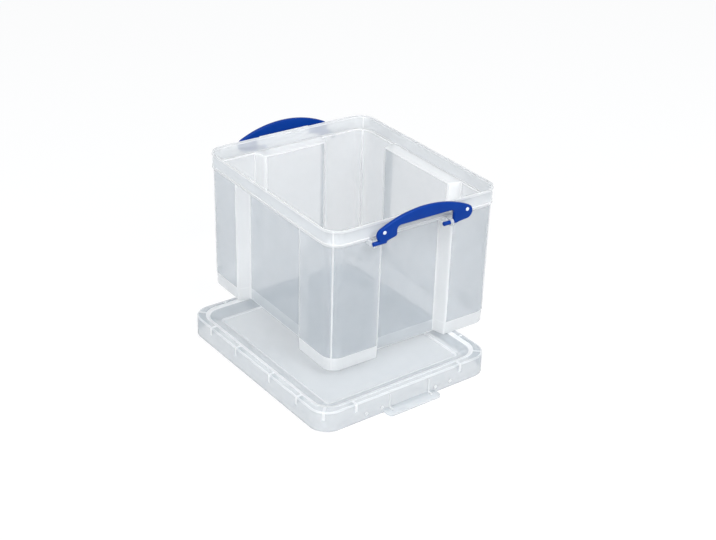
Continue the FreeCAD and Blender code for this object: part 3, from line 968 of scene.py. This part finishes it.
@dataclass
class Lid:
    """The lid: a sunken middle in a raised border, a skirt, ribs under the border, and tongues."""

    half_x: float = 225.3
    half_y: float = 194.8
    corner: float = 37.3
    corner_steps: int = 10
    height: float = 41.0
    wall: float = 2.6
    border_round: float = 3.0
    border_steps: int = 5
    border: float = 16.0
    slope: float = 28.0
    sunken: float = 14.0
    sunken_corner: float = 8.0
    panel_round: float = 2.5
    panel_steps: int = 3
    crest_round: float = 4.5
    crest_steps: int = 4
    edge_round: float = 0.6
    edge_steps: int = 2
    rib_thick: float = 2.2
    rib_low: float = 28.0
    rib_bite: float = 0.5
    rib_round: float = 0.2
    rib_places: tuple[float, ...] = (-146.0, -57.0, 57.0, 146.0)
    end_rib_places: tuple[float, ...] = (-120.0, 120.0)
    tick_width: float = 5.4
    tick_low: float = 24.0
    tick_milk: float = 1.0
    tick_top_milk: float = 0.6
    rib_milk: float = 0.2
    # Painted highlights: the white line along the border's crest and the line where the slope meets
    # the sunken panel.
    crest_highlight: float = 0.9
    floor_line_highlight: float = 0.6
    # Painted highlights along the lid's rounded edges.
    bend_highlight: float = 0.5
    tongue_half: float = 60.0
    tongue_reach: float = 23.0
    tongue_corner: float = 9.0
    tongue_steps: int = 8
    tongue_lift: float = 3.0
    tongue_thick: float = 4.0
    tongue_milk: float = 0.25
    catch_place: float = 45.0
    catch_thick: float = 3.0
    catch_top: float = 35.0
    catch_proud: float = 1.4
    catch_reach: float = 12.0
    catch_foot: float = 2.5
    button_radius: float = 3.5
    button_lift: float = 12.5
    button_proud: float = 1.2
    button_places: tuple[float, ...] = (-97.0, -62.0, 62.0, 97.0)
    trim_round: float = 0.5
    trim_milk: float = 0.7

    @property
    def outline(self) -> RoundRect:
        """Give the outline of the skirt."""
        return RoundRect(self.half_x, self.half_y, self.corner)

    def draw_shell(self, form: Moulding) -> None:
        """Draw the panel out to the border and down to the skirt's lower edge.

        Args:
            form: The mesh that it goes into.
        """
        bm = form.bm
        reach = self.border + self.slope
        floor = self.height - self.sunken
        here = RoundRect(self.half_x - reach, self.half_y - reach, self.sunken_corner)
        stretch = Matrix.Diagonal((here.half_x, here.half_y, 1.0, 1.0))
        bmesh.ops.create_grid(bm, x_segments=1, y_segments=1, size=1.0)
        bmesh.ops.transform(bm, matrix=stretch, verts=bm.verts[:])
        form.round_corners(bm.verts[:], here.radius, self.corner_steps)
        bmesh.ops.translate(bm, verts=bm.verts[:], vec=Z_AXIS * floor)
        top, outer = here.grown(self.slope), self.outline
        for ring, height in ((top, self.height), (outer, self.height), (outer, 0.0)):
            here.carry(form.raise_rim(), ring, height)
            here = ring
        line = form.round_edges(form.level_edges(floor), self.panel_round, self.panel_steps)
        # Painted highlight line where the slope meets the sunken panel.
        form.whiten_faces(line, self.floor_line_highlight)
        upper = form.level_edges(self.height)
        inner = {edge for edge in upper if all(top.holds(vert) for vert in edge.verts)}
        rest = [edge for edge in upper if edge not in inner]
        form.round_edges(rest, self.border_round, self.border_steps)
        crest = form.round_edges(inner, self.crest_round, self.crest_steps)
        # Painted highlight along the border's crest.
        form.whiten_faces(crest, self.crest_highlight)

    def rib_stations(self) -> list[tuple[Vector, Vector, float]]:
        """List the ribs.

        Returns:
            For each rib the point of the lid's outside that it runs to, the direction that the
            outside faces there, and how far inwards the border's crest lies.
        """
        stations = []
        for side in SIDES:
            sides = [(Vector((x, side * self.half_y, 0.0)), Y_AXIS) for x in self.rib_places]
            sides += [(Vector((side * self.half_x, y, 0.0)), X_AXIS) for y in self.end_rib_places]
            stations += [(foot, axis * side, self.border) for foot, axis in sides]
        diagonal = math.sqrt(2.0)
        spare = self.sunken_corner + self.slope - self.corner
        inwards = diagonal * self.border + (diagonal - 1.0) * spare
        corners = self.outline.corner_points()
        return stations + [(foot, outward, inwards) for foot, outward in corners]

    def mark_ribs(self, form: Moulding) -> None:
        """Make the skirt and the border milky where the ribs meet them.

        Args:
            form: The mesh that holds the lid's outer surface.
        """
        shoulder = self.height - self.border_round / 2
        for foot, outward, inwards in self.rib_stations():
            strip = form.mark_strip(foot, outward, self.tick_width, inwards, self.tick_low)
            form.whiten_faces(strip, self.tick_top_milk)
            skirt = (face for face in strip if height_of(face) < shoulder)
            form.whiten_faces(skirt, self.tick_milk)

    def add_ribs(self, form: Moulding) -> None:
        """Stand the ribs under the border, from the skirt to the slope.

        Args:
            form: The mesh that they go into.
        """
        low, high = self.rib_low, self.height - self.wall + self.rib_bite
        skirt = self.wall - self.rib_bite
        for foot, outward, inwards in self.rib_stations():
            along = outward.cross(Z_AXIS)
            end = inwards + self.slope * (high - low) / self.sunken
            outline = [(skirt, low), (skirt, high), (inwards, high), (end, low)]
            start = foot - along * self.rib_thick / 2
            corners = [start - outward * inside + Z_AXIS * height for inside, height in outline]
            form.plate(corners, along * self.rib_thick, self.rib_round, self.rib_milk)

    def add_tongue(self, form: Moulding, side: float) -> None:
        """Add the tongue, catches and buttons of one end.

        Args:
            form: The mesh that they go into.
            side: The end's side along the lid.
        """
        bm = form.bm
        root, tip = side * (self.half_x - self.wall / 2), side * (self.half_x + self.tongue_reach)
        half = self.tongue_half
        outline = [(root, -half), (tip, -half), (tip, half), (root, half)]
        verts = [bm.verts.new((x, y, self.tongue_lift)) for x, y in outline]
        before = set(bm.faces)
        bm.faces.new(verts)
        form.round_corners(verts[1:3], self.tongue_corner, self.tongue_steps)
        face = form.faces_since(before)[0]
        form.draw_out(face, Z_AXIS * self.tongue_thick, self.trim_round, milk_and_light=self.tongue_milk)
        low, top = self.tongue_lift + self.tongue_thick, self.catch_top
        out, far = side * (self.half_x + self.catch_proud), side * (self.half_x + self.catch_reach)
        step = low + self.catch_foot
        outline = [(root, low), (far, low), (far, step), (out, step), (out, top), (root, top)]
        for place in (-self.catch_place, self.catch_place):
            corners = [(x, place - self.catch_thick / 2, z) for x, z in outline]
            form.plate(corners, Y_AXIS * self.catch_thick, self.trim_round, self.trim_milk)
        out = side * (self.half_x + self.button_proud)
        for place in self.button_places:
            start, stop = (Vector((x, place, self.button_lift)) for x in (root, out))
            form.rod(start, stop, self.button_radius, self.trim_round, FULL_MILK_AND_LIGHT)

    def build(self, place: Place, material: bpy.types.Material) -> None:
        """Model the lid, dress it and enter it.

        Args:
            place: Where it lies.
            material: Its finish.
        """
        form = Moulding()
        self.draw_shell(form)
        self.mark_ribs(form)
        form.thicken(self.wall)
        form.round_edges(form.level_edges(0.0), self.edge_round, self.edge_steps)
        # Painted highlights along the lid's rounded edges.
        form.paint_bend_highlights(self.bend_highlight)
        self.add_ribs(form)
        for side in SIDES:
            self.add_tongue(form, side)
        enter(form.settle("lid_shell", place, material), "lid")


@dataclass
class Handle:
    """A bail handle: a bowed grip on two feet with round knobs, moulded pins and small studs."""

    end: End
    inner_x: float = 235.3
    thick: float = 8.0
    edge_round: float = 2.6
    edge_steps: int = 5
    pivot_z: float = 257.0
    pivot_x: float = 239.3
    crest: float = 49.0
    bow_steps: int = 14
    grip_low: float = 25.0
    grip_corner: float = 8.0
    grip_steps: int = 6
    foot_inner: float = 64.0
    foot_drop: float = 0.5
    toe_round: float = 3.4
    toe_steps: int = 6
    left_toe: float = 6.0
    right_toe: float = -3.0
    knob_y: float = 93.0
    knob_radius: float = 14.0
    knob_steps: int = 18
    pin_radius: float = 4.0
    pin_round: float = 0.5
    pins: tuple[tuple[float, float], ...] = ((-114.5, -87.0), (42.5, 74.0))
    stud_radius: float = 3.5
    stud_lift: float = 19.5
    stud_proud: float = 1.2
    stud_round: float = 0.8

    def place(self, y: float, z: float) -> Vector:
        """Give a point of the inner face, with its height from the pivot."""
        return Vector((self.inner_x, y, self.pivot_z + z))

    def draw_side(
        self, form: Moulding, top: BMVert, side: float, toe_z: float
    ) -> tuple[BMVert, BMVert]:
        """Draw one side of the outline: bow, knob, slanted sole, leg and bend.

        Args:
            form: The mesh that it goes into.
            top: The outline's highest point, in the middle.
            side: The side, as a sign along the pin.
            toe_z: The toe's height from the pivot.

        Returns:
            The toe, and the point where the grip's lower edge starts.
        """
        bm = form.bm
        knob_z = self.knob_radius - self.foot_drop
        drop = self.crest - knob_z
        span = self.knob_y**2 + drop**2 - self.knob_radius**2
        bow = span / (2 * (drop - self.knob_radius))
        lean = math.degrees(math.asin(self.knob_y / (bow - self.knob_radius)))
        across, rise = self.knob_y - self.foot_inner, knob_z - toe_z
        touch = math.asin(self.knob_radius / math.hypot(across, rise))
        slant = math.degrees(math.atan2(rise, across) - touch)
        centre, knob = self.place(0.0, self.crest - bow), self.place(side * self.knob_y, knob_z)
        outward = X_AXIS * -side
        (shoulder,) = form.spin([top], centre, outward, lean, self.bow_steps)
        (sole,) = form.spin([shoulder], knob, outward, 180.0 - lean - slant, self.knob_steps)
        toe = bm.verts.new(self.place(side * self.foot_inner, toe_z))
        bend_y, bend_z = self.foot_inner - self.grip_corner, self.grip_low - self.grip_corner
        leg = bm.verts.new(self.place(side * self.foot_inner, bend_z))
        bend = self.place(side * bend_y, bend_z)
        (under,) = form.spin([leg], bend, -outward, 90.0, self.grip_steps)
        for pair in ((sole, toe), (toe, leg)):
            bm.edges.new(pair)
        return toe, under

    def draw_outline(self, form: Moulding) -> BMFace:
        """Draw both sides of the outline, join them along the grip and fill it.

        Args:
            form: The mesh that it goes into.

        Returns:
            The outline's face.
        """
        bm = form.bm
        top = bm.verts.new(self.place(0.0, self.crest))
        right_toe, right = self.draw_side(form, top, 1.0, self.right_toe)
        left_toe, left = self.draw_side(form, top, -1.0, self.left_toe)
        bm.edges.new((left, right))
        bmesh.ops.contextual_create(bm, geom=bm.edges[:])
        form.round_corners([left_toe, right_toe], self.toe_round, self.toe_steps)
        return bm.faces[:][0]

    def build(self, tub_place: Place, material: bpy.types.Material) -> None:
        """Model the handle, dress it and enter it.

        Args:
            tub_place: Where the tub that carries it stands.
            material: Its finish.
        """
        form = Moulding()
        face = self.draw_outline(form)
        form.draw_out(face, X_AXIS * self.thick, self.edge_round, self.edge_steps)
        pivot = Vector((self.pivot_x, 0.0, self.pivot_z))
        for start, stop in self.pins:
            ends = pivot + Y_AXIS * start, pivot + Y_AXIS * stop
            form.rod(*ends, self.pin_radius, self.pin_round)
        inside = X_AXIS * (self.thick - self.stud_proud)
        for y in (-self.knob_y, self.knob_y):
            base = self.place(y, self.stud_lift) + inside
            tip = base + X_AXIS * 2 * self.stud_proud
            # The studs carry full whiteness, which paints their pale glint.
            form.rod(base, tip, self.stud_radius, self.stud_round, FULL_MILK_AND_LIGHT)
        place = replace(tub_place, turn=self.end.value)
        name = f"{self.end.name.lower()}_handle"
        enter(form.settle(f"{name}_bail", place, material), name)


# Stage


@dataclass(frozen=True)
class Studio:
    """A pale floor and a white surround."""

    floor_half: float = 9.0
    floor_colour: Colour = (0.66, 0.67, 0.69, 1.0)
    floor_lift: float = 1.13
    floor_share: float = 0.8
    sky: float = 0.30
    sky_colour: Colour = (0.86, 0.94, 1.0, 1.0)
    plain: float = 1.0
    white: Colour = (1.0, 1.0, 1.0, 1.0)

    def seen(self, shader: Shader) -> Value:
        """Tell the rays that show the background: straight, mirrored or through glass.

        Args:
            shader: The tree that asks.

        Returns:
            1 for such a ray, or else 0.
        """
        path = shader.node("ShaderNodeLightPath")
        names = ("Is Camera Ray", "Is Glossy Ray", "Is Transmission Ray")
        camera, glossy, through = (shader.value(path, name) for name in names)
        return camera + glossy + through

    def lay_floor(self) -> None:
        """Lay the floor, white to the eye but for the object's own soft shadow."""
        bm = bmesh.new()
        bmesh.ops.create_grid(bm, x_segments=1, y_segments=1, size=self.floor_half)
        mesh = bpy.data.meshes.new("floor")
        bm.to_mesh(mesh)
        bm.free()
        material, shader = new_material("pale_floor")
        matt = shader.node("ShaderNodeBsdfDiffuse", None, {"Color": self.floor_colour})
        lit = {"Color": self.white, "Strength": self.floor_lift}
        glow = shader.node("ShaderNodeEmission", None, lit)
        shader.close(shader.join(self.seen(shader) * self.floor_share, matt, glow))
        mesh.materials.append(material)
        floor = show("floor", mesh)

    def light_sky(self) -> None:
        """Light the surround: plain white to the eye, softer as a lamp."""
        world = bpy.data.worlds.new("surround")
        world.use_nodes = True
        bpy.context.scene.world = world
        shader = Shader(world.node_tree)
        skies = ((self.sky_colour, self.sky), (self.white, self.plain))
        soft, plain = (
            shader.node("ShaderNodeBackground", None, {"Color": colour, "Strength": strength})
            for colour, strength in skies
        )
        shader.close(shader.join(self.seen(shader), soft, plain), "ShaderNodeOutputWorld")


@dataclass(frozen=True)
class SoftLamp:
    """A square soft box that faces a point above the floor's middle."""

    name: str
    place: tuple[float, float, float]
    size: float
    power: float
    aim: tuple[float, float, float] = (0.0, 0.0, 0.15)

    def hang(self) -> None:
        """Hang the lamp."""
        data = bpy.data.lights.new(self.name, "AREA")
        data.shape = "SQUARE"
        data.size = self.size
        data.energy = self.power
        lamp = show(self.name, data)
        lamp.location = self.place
        ahead = Vector(self.aim) - Vector(self.place)
        lamp.rotation_euler = ahead.to_track_quat("-Z", "Y").to_euler()


@dataclass(frozen=True)
class PhotoCamera:
    """The photograph's camera, fitted to the box's own edges."""

    place: tuple[float, float, float] = (1.90482, -1.33024, 1.37152)
    azimuth: float = 54.29
    dip: float = 27.836
    roll: float = 1.743
    focal_pixels: float = 1359.24
    frame_pixels: float = 716.0
    sensor: float = 36.0

    def stand(self) -> None:
        """Put the camera in its place and make it the scene's own."""
        data = bpy.data.cameras.new("photo_camera")
        data.sensor_width = self.sensor
        data.lens = self.focal_pixels / self.frame_pixels * self.sensor
        camera = show("photo_camera", data)
        turn = Matrix.Rotation(math.radians(self.azimuth), 4, "Z")
        tilt = Matrix.Rotation(math.radians(90.0 - self.dip), 4, "X")
        roll = Matrix.Rotation(math.radians(self.roll), 4, "Z")
        camera.matrix_world = Matrix.Translation(self.place) @ turn @ tilt @ roll
        bpy.context.scene.camera = camera


def main() -> None:
    """Build the box piece by piece around the CAD frame."""
    logging.basicConfig(level=logging.INFO, format="%(name)s: %(message)s")
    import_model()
    scene = bpy.context.scene
    scene.view_settings.view_transform = "Standard"
    scene.cycles.transparent_max_bounces = CLEAR_LAYERS
    walls = ClearPlastic("clear_walls", body=0.28).make()
    frosted = ClearPlastic("clear_frosted", body=0.38).make()
    blue = BluePlastic().make()
    tub_place = Place(x=-48.94, y=47.64, z=41.0)
    Lid().build(Place(x=45.06, y=-38.36, z=0.0, turn=1.6), frosted)
    Tub().build(tub_place, walls)
    for end in End:
        Handle(end).build(tub_place, blue)
    studio = Studio()
    studio.lay_floor()
    studio.light_sky()
    SoftLamp("key", place=(2.4, 0.5, 2.6), size=1.6, power=85.0).hang()
    SoftLamp("fill", place=(0.7, -2.6, 1.5), size=2.0, power=50.0).hang()
    PhotoCamera().stand()


if __name__ == "__main__":
    main()
